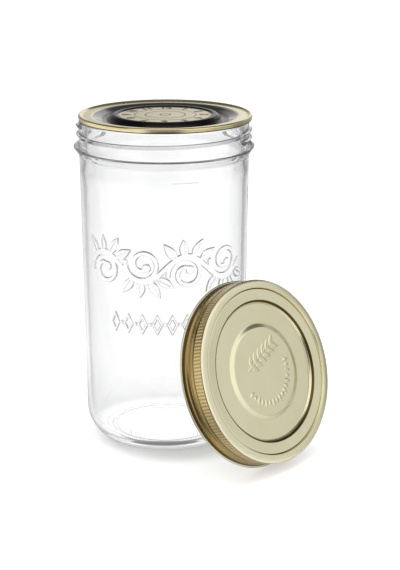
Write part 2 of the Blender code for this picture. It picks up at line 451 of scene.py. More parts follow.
def make_table():
    material, tree, shader = new_material("white_table")
    shader.inputs["Roughness"].default_value = floor_roughness
    shader.inputs["Emission Color"].default_value = white
    where = add_node(tree, "ShaderNodeTexCoord").outputs["Object"]
    right, back, high = add_split(tree, where)
    path = add_node(tree, "ShaderNodeLightPath").outputs
    from_camera, from_metal, through_glass = (
        path["Is Camera Ray"], path["Is Glossy Ray"], path["Is Transmission Ray"])

    level = add_blend(tree, from_metal, 1.0, metal_floor(tree, where, right))
    level = add_blend(tree, through_glass, level, glass_floor(tree, where, back))
    seen = add_math(tree, "MAXIMUM", from_camera, from_metal)
    seen = add_math(tree, "MAXIMUM", seen, through_glass)
    gathered = add_disc(tree, where, foot_middle, gathered_reach, gathered_glow, floor_glow)
    contact = add_disc(tree, where, contact_middle, contact_reach, contact_glow, open_glow)
    share = add_blend(tree, from_camera, floor_glow, contact)
    share = add_blend(tree, through_glass, share, gathered)
    glow = add_math(tree, "MULTIPLY", seen, share)
    glow = add_math(tree, "MULTIPLY", glow, level)
    tree.links.new(glow, shader.inputs["Emission Strength"])
    shade = add_math(tree, "MULTIPLY", level, floor_white)
    grey = add_node(tree, "ShaderNodeCombineColor")
    feed(tree, grey.inputs, (shade, shade, shade))
    tree.links.new(grey.outputs[0], shader.inputs["Base Color"])
    return material


def add_floor():
    mesh = bpy.data.meshes.new("studio_floor")
    reach, level = floor_half_width, -floor_gap
    corners = [(x * reach, y * reach, level) for x, y in ((-1, -1), (1, -1), (1, 1), (-1, 1))]
    mesh.from_pydata(corners, [], [(0, 1, 2, 3)])
    mesh.materials.append(make_table())
    floor = add_object("studio_floor", mesh)
    return floor


floor = add_floor()
print("floor", 2 * floor_half_width, "m wide")

# %% [markdown]
# Lamps
#
# Two large soft lamps stand in for the light tent: one overhead that gives the soft shadow under the jar,
# and one from the front left. They are hidden from mirror and glass rays, because the studio of the
# world already says what polished pieces see.

# %% Soft lamps
# a lamp is its place and its width in metres, and its power in watts
soft_lamps = {
    "overhead_softbox": ((0.0, 0.2, 1.3), 1.6, 11.0),
    "front_softbox": ((-0.7, -0.9, 1.0), 1.5, 1.6)}


def add_lamp(name, place, size, power):
    data = bpy.data.lights.new(name, "AREA")
    data.shape = "DISK"
    data.size = size
    data.energy = power
    lamp = add_object(name, data)
    lamp.location = place
    lamp.rotation_euler = (-Vector(place)).to_track_quat("-Z", "Y").to_euler()
    lamp.visible_glossy = False
    lamp.visible_transmission = False
    return lamp


for name, lamp in soft_lamps.items():
    add_lamp(name, *lamp)
print(len(soft_lamps), "softboxes")

# %% [markdown]
# Turned surfaces
#
# Every piece here is turned: glass is blown and pressed in round moulds, and the metal is stamped and
# rolled. A Screw modifier would do for a plain profile, but the surface also carries a thread, knurls and
# a raised ornament, so the points are worked out as a grid with one row for each point of the profile and
# one column for each angle. A push moves a point along the profile's own normal.

# %% Grid helpers
touching = 1e-6


def arc(centre, radii, start, end, steps):
    """Points on an elliptical arc, as (radius, height) rows; the angles are in degrees."""
    angles = np.radians(np.linspace(start, end, steps + 1))
    return np.stack((centre[0] + radii[0] * np.cos(angles), centre[1] + radii[1] * np.sin(angles)), axis=1)


def straight(start, end, spacing):
    """Points from start to end, about spacing apart."""
    start, end = np.array(start), np.array(end)
    steps = max(1, round(float(np.linalg.norm(end - start)) / spacing))
    return start + (end - start) * np.linspace(0, 1, steps + 1)[:, None]


def smoothstep(share):
    share = np.clip(share, 0.0, 1.0)
    return share * share * (3 - 2 * share)


def eased(start, end, steps):
    """A profile stretch between two levels that leaves and arrives level."""
    share = np.linspace(0, 1, steps + 1)
    radius = start[0] + (end[0] - start[0]) * share
    return np.stack((radius, start[1] + (end[1] - start[1]) * smoothstep(share)), axis=1)


def joined(*stretches):
    """One profile from several stretches, without the points that two of them share."""
    rows = np.vstack(stretches)
    apart = np.linalg.norm(np.diff(rows, axis=0), axis=1) > touching
    return rows[np.concatenate(([True], apart))]


def within(value, low, high):
    return (value > low) & (value < high)


print("a quarter round in eight steps has", len(arc((0, 0), (1, 1), 0, 90, 8)), "points")

# %% Points of a turned surface


def profile_normals(profile):
    """Normals of a profile that runs up the outside, in over the top and down the inside."""
    step = np.gradient(profile, axis=0)
    normal = np.stack((step[:, 1], -step[:, 0]), axis=1)
    return normal / np.linalg.norm(normal, axis=1, keepdims=True)


def turned_points(profile, angles, push=0.0):
    """A grid of points: rows follow the profile, columns follow the angles, push moves points outward."""
    normals = profile_normals(profile)
    push = np.broadcast_to(push, (len(profile), len(angles)))
    moved = profile[:, None, :] + normals[:, None, :] * push[:, :, None]
    radius, height = moved[..., 0], moved[..., 1]
    return np.stack((radius * np.cos(angles), radius * np.sin(angles), height), axis=-1)


# %% Mesh helper


def turned_object(name, rows, materials, finish=(0,)):
    """A closed mesh object from a grid of points. Ends on the axis become poles, others join in a ring.

    The finish gives each row, or each point of the grid, the index of its material.
    """
    count, columns = rows.shape[:2]
    closed_ring = float(np.linalg.norm(rows[0, 0] - rows[0, columns // 2])) > touching
    if closed_ring:
        points = rows.reshape(-1, 3)
        index = np.arange(count * columns).reshape(count, columns)
        below, above = index, np.roll(index, -1, axis=0)
    else:
        points = np.vstack((rows[0, :1], rows[1:-1].reshape(-1, 3), rows[-1, :1]))
        index = 1 + np.arange((count - 2) * columns).reshape(count - 2, columns)
        below, above = index[:-1], index[1:]
    quads = np.stack((below, np.roll(below, -1, 1), np.roll(above, -1, 1), above), axis=-1)
    faces = quads.reshape(-1, 4).tolist()
    row_of_face = np.repeat(np.arange(len(below)), columns)
    column_of_face = np.tile(np.arange(columns), len(below))
    if not closed_ring:
        first, last = index[0], index[-1]
        last_point = len(points) - 1
        faces += [(0, int(b), int(a)) for a, b in zip(first, np.roll(first, -1))]
        faces += [(int(a), int(b), last_point) for a, b in zip(last, np.roll(last, -1))]
        row_of_face = np.concatenate((row_of_face + 1, np.zeros(columns, int), np.full(columns, count - 2)))
        column_of_face = np.concatenate((column_of_face, np.arange(columns), np.arange(columns)))
    mesh = bpy.data.meshes.new(name)
    mesh.from_pydata(points.tolist(), [], faces)
    for material in materials:
        mesh.materials.append(material)
    finish = np.broadcast_to(np.asarray(finish).reshape(len(finish), -1), (count, columns))
    mesh.polygons.foreach_set("material_index", finish[row_of_face, column_of_face].astype(np.int32))
    mesh.shade_smooth()
    mesh.update()
    print(name, "has", len(mesh.polygons), "faces")
    return add_object(name, mesh)


# %% [markdown]
# Drawing in relief
#
# The ornament is a height field: for each point of the surface it answers how far the mould raised it.
# Each motif is a distance, negative inside its outline, and a soft edge turns that distance into a height
# from 0 to 1. Strokes, leaves, lozenges and dots combine by taking the highest. Strokes, leaves and
# lozenges serve again, smaller, on the lid.

# %% Motifs
leaf_fullness = 0.8
vein_reach = (0.08, 0.8)


def raised(distance, edge):
    """One inside an outline, falling to zero in a straight slope across its edge."""
    return np.clip(0.5 - distance / edge, 0, 1)


def with_mark(height, distance, edge):
    """A relief with one more mark on it: the higher of the two at each point."""
    return np.maximum(height, raised(distance, edge))


def stroke(across, up, line, width):
    """Distance outside a stroke of one width along a line of points."""
    nearest = np.full(across.shape, np.inf)
    for (x0, y0), (x1, y1) in zip(line[:-1], line[1:]):
        dx, dy = x1 - x0, y1 - y0
        share = np.clip(((across - x0) * dx + (up - y0) * dy) / (dx * dx + dy * dy), 0, 1)
        nearest = np.minimum(nearest, np.hypot(across - x0 - share * dx, up - y0 - share * dy))
    return nearest - width / 2


def leaf(across, up, base, heading, length, width):
    """Distance outside an almond leaf, and distance from its vein. The heading is in degrees."""
    turn = math.radians(heading)
    dx, dy = across - base[0], up - base[1]
    along = (dx * math.cos(turn) + dy * math.sin(turn)) / length
    beside = np.abs(dy * math.cos(turn) - dx * math.sin(turn))
    inside = np.clip(along, 0, 1)
    half = width / 2 * np.sin(np.pi * inside ** leaf_fullness)
    beyond = np.abs(along - inside) * length
    outside = np.where(beyond > 0, np.hypot(beside, beyond), beside - half)
    vein = np.where(within(along, *vein_reach), beside, length)
    return outside, vein


def lozenge(across, up, centre, width, height):
    """Distance outside an upright lozenge."""
    dx = np.abs(across - centre[0]) / (width / 2)
    dy = np.abs(up - centre[1]) / (height / 2)
    return (dx + dy - 1) * width * height / 2 / math.hypot(width, height)


def dot(across, up, centre, radius):
    return np.hypot(across - centre[0], up - centre[1]) - radius


# %% [markdown]
# The scroll on the jar's front
#
# A running scroll is one of the oldest ornaments: a wavy stem, a tendril curling into every hollow of the
# wave, and leaves on the outer side. It runs across the front of the jar, and a plain row of lozenges
# and dots runs below it. All its sizes are in metres along the glass.

# %% Scroll sizes
scroll_height = 123.5 * mm
scroll_middle = 1.0 * mm
lobe_width = 27.0 * mm
lobe_rise = 8.5 * mm
stem_width = 3.0 * mm
tendril_width = 2.6 * mm
tendril_dot = 2.6 * mm
tendril_radius = 11.5 * mm
tendril_end_radius = 3.3 * mm
tendril_offset = 3.0 * mm
tendril_turns = (185, -315)
# a leaf is its shift along the stem and its length in millimetres, and its heading in degrees
scroll_leaves = ((-6, 13, 128), (-1, 11, 96), (4, 13, 58), (9, 12, 30))
leaf_width = 5.6 * mm
leaf_sink = 0.35
vein_width = 0.9 * mm
vein_depth = 0.55
relief_edge = 0.75 * mm
print("scroll", round(4 * lobe_width / mm), "mm long with", 4 * len(scroll_leaves), "leaves")

# %% Running scroll


def scroll_lobe(lobe):
    """The middle of one half wave along the front, and 1 where it bends up or -1 where it bends down."""
    return scroll_middle + (lobe + 0.5) * lobe_width, 1 if lobe % 2 == 0 else -1


def scroll_stem():
    """The wavy stem: four half waves across the front."""
    across = np.linspace(-2 * lobe_width, 2 * lobe_width, 73)
    up = scroll_height + lobe_rise * np.sin(np.pi * across / lobe_width)
    return list(zip(across + scroll_middle, up))


def scroll_tendril(lobe):
    """A spiral that leaves the stem and curls into one hollow; lobes alternate up and down."""
    middle, side = scroll_lobe(lobe)
    radius = np.linspace(tendril_radius, tendril_end_radius, 40)
    turn = np.radians(np.linspace(*tendril_turns, 40))
    height = scroll_height - side * tendril_offset
    return list(zip(middle + radius * np.cos(turn), height + side * radius * np.sin(turn)))


def scroll_relief(across, up):
    """Height from 0 to 1 of the running scroll at points measured along and up the glass."""
    height = raised(stroke(across, up, scroll_stem(), stem_width), relief_edge)
    for lobe in range(-2, 2):
        middle, side = scroll_lobe(lobe)
        line = scroll_tendril(lobe)
        height = with_mark(height, stroke(across, up, line, tendril_width), relief_edge)
        height = with_mark(height, dot(across, up, line[-1], tendril_dot), relief_edge)
        crest = scroll_height + side * lobe_rise
        for shift, length, heading in scroll_leaves:
            base = (middle + shift * mm, crest - side * abs(shift - 1) * leaf_sink * mm)
            blade, vein = leaf(across, up, base, side * heading, length * mm, leaf_width)
            groove = vein_depth * raised(vein - vein_width / 2, relief_edge)
            height = np.maximum(height, raised(blade, relief_edge) - groove)
    return height


# %% Row of lozenges
row_height = 87.8 * mm
row_spacing = 9.4 * mm
row_count = 8
row_lozenge = (5.4 * mm, 10.5 * mm)
row_line_half = 0.65 * mm
row_dot = 1.1 * mm


def row_relief(across, up):
    """Height from 0 to 1 of the row of lozenges and dots under the scroll."""
    height = np.zeros(across.shape)
    start = scroll_middle - (row_count - 1) / 2 * row_spacing
    for place in range(row_count):
        centre = (start + place * row_spacing, row_height)
        outline = np.abs(lozenge(across, up, centre, *row_lozenge)) - row_line_half
        height = with_mark(height, outline, relief_edge)
        if place < row_count - 1:
            between = (centre[0] + row_spacing / 2, row_height)
            height = with_mark(height, dot(across, up, between, row_dot), relief_edge)
    return height


print(row_count, "lozenges", round(row_spacing / mm, 1), "mm apart")

# %% [markdown]
# The jar's sizes
#
# The frame gives the jar's box, and the rest follows from it: the bead is the widest ring, the neck is
# set in from the bead, and the wall narrows a little down to the heel. Columns of points are close
# together only round the front, where the ornament is.

# %% Jar sizes
jar_low, jar_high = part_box("glass_jar")
mouth_height = jar_high.z
bead_radius = (jar_high.x - jar_low.x) / 2
neck_radius = bead_radius - 3.3 * mm
bore_radius = neck_radius - 4.6 * mm
body_radius = neck_radius - 2.3 * mm
lip_radius = 1.6 * mm
bead_top = mouth_height - 17.1 * mm
shoulder_height = bead_top - 5.8 * mm
heel_height = 19.8 * mm
foot_radius = body_radius - 15.7 * mm
foot_inner_radius = foot_radius - 4.8 * mm
punt_height = 2.4 * mm
glass_wall = 3.4 * mm
floor_thickness = 4.2 * mm
print("mouth at", round(mouth_height / mm, 1), "mm, neck", round(2 * neck_radius / mm, 1), "mm across")


def wall_radius(height):
    """The outer radius on the straight wall."""
    share = (height - heel_height) / (shoulder_height - heel_height)
    return body_radius + (neck_radius - body_radius) * share


# %% Jar angles
front = -math.pi / 2
front_half = math.radians(65)
fine_step = math.radians(0.28)
plain_step = math.radians(1.0)


def jar_angles():
    """Fine columns where the ornament is, plainer ones round the back."""
    fine = np.linspace(-front_half, front_half, round(2 * front_half / fine_step) + 1)
    rest = math.tau - 2 * front_half
    plain = np.linspace(front_half, front_half + rest, round(rest / plain_step) + 1)[1:-1]
    return front + np.concatenate((fine, plain))


angles = jar_angles()
print("the jar has", len(angles), "columns")

# %% [markdown]
# The jar's profile
#
# The profile starts under the punt, the shallow hollow in the bottom, crosses the ring that the jar
# stands on, and follows the round heel up to the wall. Rows are close together only where the ornament,
# the bead and the thread need them. Then it goes over the lip and down the inside, which is plain but
# for a fine ring round the floor.

# %% Sizes of the outside
punt_rows = 14
punt_curve = 2.4
heel_flat = 12 * mm
relief_rows = 0.25 * mm
neck_rows = 0.14 * mm
# where each stretch of the wall starts, and how far apart its rows are
wall_rows = (
    (heel_height, 5 * mm), (80 * mm, relief_rows), (96 * mm, 1.5 * mm), (99 * mm, relief_rows),
    (148 * mm, 5 * mm), (175 * mm, 0.3 * mm), (181 * mm, 1.5 * mm), (shoulder_height, 0.0))
bead_hook = 1.3 * mm
bead_fillet = 0.7 * mm
bead_tip_radius = 0.3 * mm
flare_short = (0.06 * mm, 0.15 * mm)
flare_curve = 1.05
print("the wall has", len(wall_rows) - 1, "stretches")

# %% Outside of the jar


def punt():
    """The hollow under the jar, from the middle out to the ring that it stands on."""
    radius = np.linspace(0, foot_inner_radius, punt_rows + 1)
    return np.stack((radius, punt_height * (1 - (radius / foot_inner_radius) ** punt_curve)), axis=1)


def heel():
    """The round heel, flattened a little where it meets the ring."""
    rows = arc((foot_radius, heel_height), (body_radius - foot_radius, heel_height), -90, 0, 64)
    rows[:, 1] *= smoothstep((rows[:, 0] - foot_radius) / heel_flat)
    return rows


def wall():
    """The straight wall, one stretch after another."""
    return joined(*(
        straight((wall_radius(low), low), (wall_radius(high), high), spacing)
        for (low, spacing), (high, _) in zip(wall_rows, wall_rows[1:])))


def bead():
    """A flared ring at the foot of the neck that stops the lid's edge; its top slopes in like a collar."""
    tip = (bead_radius - bead_tip_radius, bead_top - bead_tip_radius)
    tip_end = (tip[0] - 0.5 * bead_tip_radius, tip[1] + 0.87 * bead_tip_radius)
    share = np.linspace(0, 1, 14)
    flare_radius = neck_radius + (bead_radius - flare_short[0] - neck_radius) * share ** flare_curve
    flare_height = shoulder_height + (tip[1] - flare_short[1] - shoulder_height) * share
    root = (neck_radius + bead_fillet, bead_top - bead_hook)
    return joined(
        np.stack((flare_radius, flare_height), axis=1),
        arc(tip, (bead_tip_radius, bead_tip_radius), -20, 120, 9),
        straight(tip_end, root, 0.4 * mm),
        arc((root[0], root[1] + bead_fillet), (bead_fillet, bead_fillet), 250, 180, 6))


def outside():
    neck_low = bead_top - bead_hook + bead_fillet
    lip_low = mouth_height - lip_radius
    return joined(
        punt(),
        straight((foot_inner_radius, 0.0), (foot_radius, 0.0), 0.5 * mm),
        heel(),
        wall(),
        bead(),
        straight((neck_radius, neck_low), (neck_radius, lip_low), neck_rows),
        arc((neck_radius - lip_radius, lip_low), (lip_radius, lip_radius), 0, 90, 8),
        arc((bore_radius + lip_radius, lip_low), (lip_radius, lip_radius), 90, 180, 8))


print("the outside has", len(outside()), "rows")

# %% Inside of the jar
bore_end = bead_top - 6.5 * mm
blend_length = 12 * mm
inner_floor_radius = foot_radius + 0.8 * mm
ridge_width = 1.5 * mm
ridge_rise = 0.35 * mm


def floor_ridge():
    """A fine raised line round the floor, where the mould's two inner pieces meet."""
    share = np.linspace(0, 1, 13)
    height = floor_thickness + ridge_rise * np.sin(np.pi * share) ** 2
    return np.stack((inner_floor_radius - ridge_width * share, height), axis=1)


def inside():
    """Down the bore, out to the wide wall, and round the inner heel to the middle of the floor."""
    blend_low = bore_end - blend_length
    inner_wall = wall_radius(blend_low) - glass_wall
    heel_width = body_radius - glass_wall - inner_floor_radius
    heel_drop = heel_height - floor_thickness
    share = np.linspace(0, 1, 10)
    blend_radius = bore_radius + (inner_wall - bore_radius) * smoothstep(share)
    ridge_end = inner_floor_radius - ridge_width
    return joined(
        straight((bore_radius, mouth_height - lip_radius), (bore_radius, bore_end), 3 * mm),
        np.stack((blend_radius, bore_end - blend_length * share), axis=1),
        straight((inner_wall, blend_low), (inner_floor_radius + heel_width, heel_height), 6 * mm),
        arc((inner_floor_radius, heel_height), (heel_width, heel_drop), 0, -90, 40),
        floor_ridge(),
        straight((ridge_end, floor_thickness), (foot_inner_radius, floor_thickness), 1 * mm),
        punt()[::-1] + (0, floor_thickness))


print("the inside has", len(inside()), "rows")

# %% [markdown]
# The screw thread on the neck
#
# The thread is one start, right-handed, with a little over one and a half turns. A moulded thread has a
# steep upper flank and a long sloping lower one, and it fades into the neck at both ends. Round the back
# it is drawn lower, so that the far side stays calm behind the near one.

# %% Thread
thread_pitch = 5.19 * mm
thread_turns = 1.6
thread_start = math.radians(335)
thread_rise = 1.9 * mm
thread_hook = 0.2
thread_low = bead_top + 4.5 * mm
thread_fade = 0.022
thread_flat = 0.95
thread_back = 0.25
upper_flank = 0.6 * mm
lower_flank = 2.1 * mm
back_starts = 0.1
back_blend = 0.5


def toward_back(angles):
    """One round the back of the jar, and zero round its front and at its sides."""
    return smoothstep((np.sin(angles) - back_starts) / back_blend)


def thread_push(angles, heights):
    """How far the thread stands out at each angle and height."""
    push = np.zeros(np.broadcast(angles, heights).shape)
    for lap in range(-1, 3):
        turn = (angles - thread_start) / math.tau + lap
        crest = thread_low + thread_pitch * turn
        offset = heights - crest
        section = np.where(offset > 0, 1 - offset / upper_flank, 1 + offset / lower_flank)
        ends = smoothstep(np.minimum(turn, thread_turns - turn) / thread_fade)
        push = np.maximum(push, thread_rise * np.clip(section, 0, thread_flat) * ends)
    return push * (1 - (1 - thread_back) * toward_back(angles))


print("the thread climbs", round(thread_pitch / mm, 2), "mm a turn")

# %% [markdown]
# Small marks of the mould
#
# A raised line shows how far to fill the jar. A row of short ticks follows the heel, as moulds often
# carry, and the ring that the jar stands on is stippled with small bars, which keep the hot glass from
# touching the belt all along its edge.

# %% Fill line, ticks and stipple
fill_line_height = 177.9 * mm
fill_line_ends = (math.radians(5.9), math.radians(23.4))
fill_line_width = 0.9 * mm
fill_line_rise = 0.6 * mm
fill_line_edge = 0.6 * mm
tick_height = 14.5 * mm
tick_count = 19
tick_step = math.radians(3.1)
tick_middle = math.radians(3)
tick_last = math.radians(60)
tick_half = (0.3 * mm, 1.6 * mm)
tick_rise = 0.4 * mm
tick_edge = 0.5 * mm
stipple_count = 126
stipple_radii = (34.0 * mm, 40.5 * mm)
stipple_reach = 1.4 * mm
stipple_depth = 0.45 * mm


def fill_line(across, up):
    ends = [(wall_radius(fill_line_height) * turn, fill_line_height) for turn in fill_line_ends]
    return fill_line_rise * raised(stroke(across, up, ends, fill_line_width), fill_line_edge)


def heel_ticks(turn, height):
    """Short upright ticks on the front of the heel."""
    local = np.abs((turn + tick_step / 2) % tick_step - tick_step / 2) * body_radius
    on_row = (np.abs(turn - tick_middle) < tick_count * tick_step / 2) & (turn < tick_last)
    distance = np.maximum(local - tick_half[0], np.abs(height - tick_height) - tick_half[1])
    return tick_rise * raised(distance, tick_edge) * on_row


def stipple(turn, radius, height):
    """Small bars across the standing ring, left proud by shallow hollows between them."""
    wave = 0.5 + 0.5 * np.cos(turn * stipple_count)
    band = sum(smoothstep(1.5 - np.abs(radius - middle) / stipple_reach) for middle in stipple_radii)
    return -stipple_depth * wave * band * (height < heel_height / 2)


print(tick_count, "ticks and", stipple_count, "bars")

# %% [markdown]
# Clear glass
#
# Glass needs an index of refraction of about 1.52, full transmission and an almost perfectly smooth
# surface. A weak, wide ripple in the bump gives the slightly uneven look of pressed glass. Light that
# only casts the shadow is let through by a transparent shader, because real glass focuses light and
# leaves a pale shadow, which a path tracer would otherwise render far too dark.
#
# A path that has been turned back many times inside thick glass would end black. After a few turns it
# ends instead in a soft grey glow that the glass gives off itself, painted light. The neck allows more
# turns and a dimmer glow, so its lines stay crisp.

# %% Glass material
glass_tint = (0.985, 0.988, 0.988, 1.0)
glass_shadow_tint = (0.88, 0.88, 0.88, 1.0)
glass_index = 1.52
ripple_size = 38.0
ripple_strength = 0.05
ripple_height = 1.2 * mm
neck_starts = (165 * mm, 180 * mm)
deep_ray = 5.5
deep_ray_neck = 9.5
deep_glow_starts = (148 * mm, 158 * mm)
deep_glow_level = 0.68
deep_glow_level_neck = 0.12


def add_shader_mix(tree, share, first, second):
    node = add_node(tree, "ShaderNodeMixShader")
    feed(tree, node.inputs, (share, first, second))
    return node.outputs[0]


def make_glass():
    material, tree, shader = new_material("clear_pressed_glass")
    shader.inputs["Base Color"].default_value = glass_tint
    shader.inputs["Roughness"].default_value = 0.0
    shader.inputs["IOR"].default_value = glass_index
    shader.inputs["Transmission Weight"].default_value = 1.0
    where = add_node(tree, "ShaderNodeTexCoord").outputs["Object"]
    ripple = add_noise(tree, where, ripple_size, 1.5)
    add_bump(tree, shader, ripple, ripple_strength, ripple_height)

    clear = add_node(tree, "ShaderNodeBsdfTransparent")
    clear.inputs["Color"].default_value = glass_shadow_tint
    path = add_node(tree, "ShaderNodeLightPath")
    mix = add_shader_mix(tree, path.outputs["Is Shadow Ray"], shader.outputs[0], clear.outputs[0])
    high = add_split(tree, where)[2]
    limit = add_ramp(tree, high, *neck_starts, deep_ray, deep_ray_neck)
    deep = add_math(tree, "GREATER_THAN", path.outputs["Ray Depth"], limit)
    # deep paths end in a painted glow, light that the glass gives off itself
    level = add_ramp(tree, high, *deep_glow_starts, deep_glow_level, deep_glow_level_neck)
    deep_glow = add_node(tree, "ShaderNodeEmission", strength=level)
    last = add_shader_mix(tree, deep, mix, deep_glow.outputs[0])
    tree.links.new(last, tree.nodes["Material Output"].inputs["Surface"])
    return material


glass = make_glass()
print("glass made, index", glass_index)

# %% [markdown]
# Putting the jar together
#
# Each mark is pushed out of the profile only where it belongs. The ornament is lower toward the sides,
# where the eye meets it at a slant and it would look too strong. Round the back the hollow of the bead's
# collar is filled up, so that no crooked second line shows through the front of the neck.

# %% Jar
relief_height = 1.4 * mm
relief_taper = 0.6
relief_taper_end = math.radians(55)
ornament_heights = (79 * mm, 150 * mm)
fill_line_above = 170 * mm
neck_tolerance = 0.1 * mm
collar_depth_behind = 0.15 * mm
collar_start = 4
collar_search = 40
collar_fade = 4 * mm


def collar_fill(profile):
    """How much higher the hollow behind the bead's lip lies round the back, where it is filled up."""
    root = bead_top - bead_hook
    tip_row = int(np.argmax(profile[:, 0]))
    root_row = tip_row + int(np.argmin(np.abs(profile[tip_row:tip_row + collar_search, 1] - root)))
    rows = np.arange(len(profile))
    start_row = tip_row + collar_start
    rise = smoothstep((rows - start_row) / (root_row - start_row))
    up_neck = 1 - smoothstep((profile[:, 1] - root) / collar_fade)
    share = np.where(rows <= root_row, rise, up_neck) * (rows < len(outside()))
    return (bead_hook - collar_depth_behind) * share[:, None] * toward_back(angles)[None, :]


def add_jar():
    profile = joined(outside(), inside())
    radius, height = profile[:, :1], profile[:, 1:]
    turn = (angles - front)[None, :]
    across = np.where(np.abs(turn) <= front_half, turn, np.pi) * wall_radius(scroll_height)
    up = np.broadcast_to(height, (len(profile), len(angles)))
    outer = (np.arange(len(profile)) < len(outside()))[:, None]
    on_front = outer & (np.abs(turn) <= front_half)
    relief = np.maximum(scroll_relief(across, up), row_relief(across, up))
    relief_scale = relief_height * (1 - relief_taper * smoothstep(np.abs(turn) / relief_taper_end))
    push = np.where(on_front & within(height, *ornament_heights), relief_scale * relief, 0.0)
    push += np.where(on_front & (height > fill_line_above), fill_line(across, up), 0.0)
    push += np.where(on_front & (height < heel_height), heel_ticks(turn, up), 0.0)
    push += np.where(outer & (height < heel_height), stipple(turn, radius, height), 0.0)
    on_neck = outer & (height > bead_top - bead_hook) & (np.abs(radius - neck_radius) < neck_tolerance)
    thread = np.where(on_neck, thread_push(angles[None, :], up), 0.0)
    points = turned_points(profile, angles, push + thread)
    points[..., 2] += thread_hook * thread
    points[..., 2] += collar_fill(profile)
    jar = turned_object("jar", points, [glass])
    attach(jar, "jar")
    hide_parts("glass_jar")
    return jar


jar = add_jar()

# %% [markdown]
# Two effects that both metal pieces share
#
# Baked lacquer on tinplate is never dead smooth: it has a fine, soft orange peel, and handling leaves a
# few faint scratches and dull spots. Each effect is a node group with named sockets, built once and
# placed in every lacquer with its own values.

# %% Lacquer peel group
cloud_range = (0.3, 0.7)


def make_lacquer_peel():
    group, start, end = new_group("lacquer_peel", {"Grain Size": 900.0, "Depth": 1.0}, ("Height", "Tone"))
    where = add_node(group, "ShaderNodeTexCoord").outputs["Object"]
    peel = add_noise(group, where, start.outputs["Grain Size"], 2.0)
    cloud = add_noise(group, where, 35.0, 3.0)
    depth = add_math(group, "MULTIPLY", peel, start.outputs["Depth"])
    feed(group, end.inputs, (depth, add_ramp(group, cloud, *cloud_range)))
    return group


lacquer_peel = make_lacquer_peel()
print("peel group has", len(lacquer_peel.nodes), "nodes")

# %% Handling wear group
scratch_turn = (0.4, 0.2, 0.7)
scratch_stretch = (1.0, 14.0, 4.0)
scratch_range = (0.66, 0.74)
scuff_range = (0.5, 0.8)


def make_handling_wear():
    amounts = {"Amount": 0.3, "Scratch Size": 60.0}
    group, start, end = new_group("handling_wear", amounts, ("Scuff", "Scratch"))
    where = add_node(group, "ShaderNodeTexCoord").outputs["Object"]
    stretch = add_node(
        group, "ShaderNodeMapping", vector=where, rotation=scratch_turn, scale=scratch_stretch)
    hair = add_noise(group, stretch.outputs[0], start.outputs["Scratch Size"], 2.0)
    blot = add_noise(group, where, 90.0, 4.0)
    line = add_ramp(group, hair, *scratch_range)
    spot = add_ramp(group, blot, *scuff_range)
    feed(group, end.inputs, [
        add_math(group, "MULTIPLY", mark, start.outputs["Amount"]) for mark in (spot, line)])
    return group


handling_wear = make_handling_wear()
print("groups:", [group.name for group in bpy.data.node_groups])

# %% [markdown]
# Lacquers
#
# Gold lacquer is a transparent tint over bright tin, so it behaves as a coloured metal. Black lacquer
# hides the tin and behaves as a glossy plastic. One function builds both: it mixes two near shades by
# the cloudy tone, lets the scuffs raise the roughness, and feeds peel and scratches to one Bump node.
# The black bead round the capsule's centre is duller than the black well, so it shines less.

# %% Lacquer material
coat_roughness = 0.06
scuff_dulling = 0.25
bump_strength = 0.15
bump_height = 0.1 * mm


def make_lacquer(
        name, light, dark, roughness, metallic=1.0, peel_depth=0.5, wear=0.12, coat=0.0, specular=0.5):
    material, tree, shader = new_material(name)
    shader.inputs["Metallic"].default_value = metallic
    shader.inputs["Coat Weight"].default_value = coat
    shader.inputs["Specular IOR Level"].default_value = specular
    shader.inputs["Coat Roughness"].default_value = coat_roughness
    peel = add_node(tree, "ShaderNodeGroup", node_tree=lacquer_peel, depth=peel_depth)
    worn = add_node(tree, "ShaderNodeGroup", node_tree=handling_wear, amount=wear)
    mix = add_node(tree, "ShaderNodeMix", data_type="RGBA", factor=peel.outputs["Tone"])
    for socket in mix.inputs:
        if socket.type == "RGBA":
            socket.default_value = colour(*(light if socket.name == "A" else dark))
    tree.links.new(mix.outputs[2], shader.inputs["Base Color"])
    dull = add_math(tree, "MULTIPLY", worn.outputs["Scuff"], scuff_dulling)
    rough = add_math(tree, "ADD", dull, roughness)
    tree.links.new(rough, shader.inputs["Roughness"])
    relief = add_math(tree, "SUBTRACT", peel.outputs["Height"], worn.outputs["Scratch"])
    add_bump(tree, shader, relief, bump_strength, bump_height)
    return material


# %% The capsule's six finishes
# the names are the indices of the materials below, in their order
flange_gold, well_black, shaded_edge_gold, centre_gold, bare_tin, bead_black = range(6)
capsule_finishes = [
    make_lacquer("gold_lacquer", (234, 221, 178), (227, 212, 164), 0.14, 1.0, 0.4, 0.15),
    make_lacquer("black_lacquer", (9, 8, 8), (6, 5, 5), 0.12, 0.0, 0.5, 0.2, coat=0.6),
    make_lacquer("shaded_edge_gold_lacquer", (78, 64, 40), (70, 57, 36), 0.2, 1.0, 0.4, 0.2),
    make_lacquer("centre_gold_lacquer", (200, 184, 138), (191, 174, 127), 0.14, 1.0, 0.4, 0.15),
    make_lacquer("bare_tin", (246, 246, 244), (240, 240, 238), 0.35, 1.0, 0.5, 0.1),
    make_lacquer("black_bead_lacquer", (9, 8, 8), (6, 5, 5), 0.2, 0.0, 0.5, 0.2, specular=0.15)]
print("finishes:", [material.name for material in capsule_finishes])

# %% [markdown]
# The capsule
#
# The capsule is a thin disc that seals the jar. Its flange lies on the lip and ends in a raised bead and
# a short skirt whose lower edge is painted darker, as painted shade, and inside it a black well surrounds
# the flat centre. The well's outer side is a cone, which catches the light at the left and right and
# stays black at the front and back. A black bead parts the well from the centre. Underneath, the tin is
# left bare.

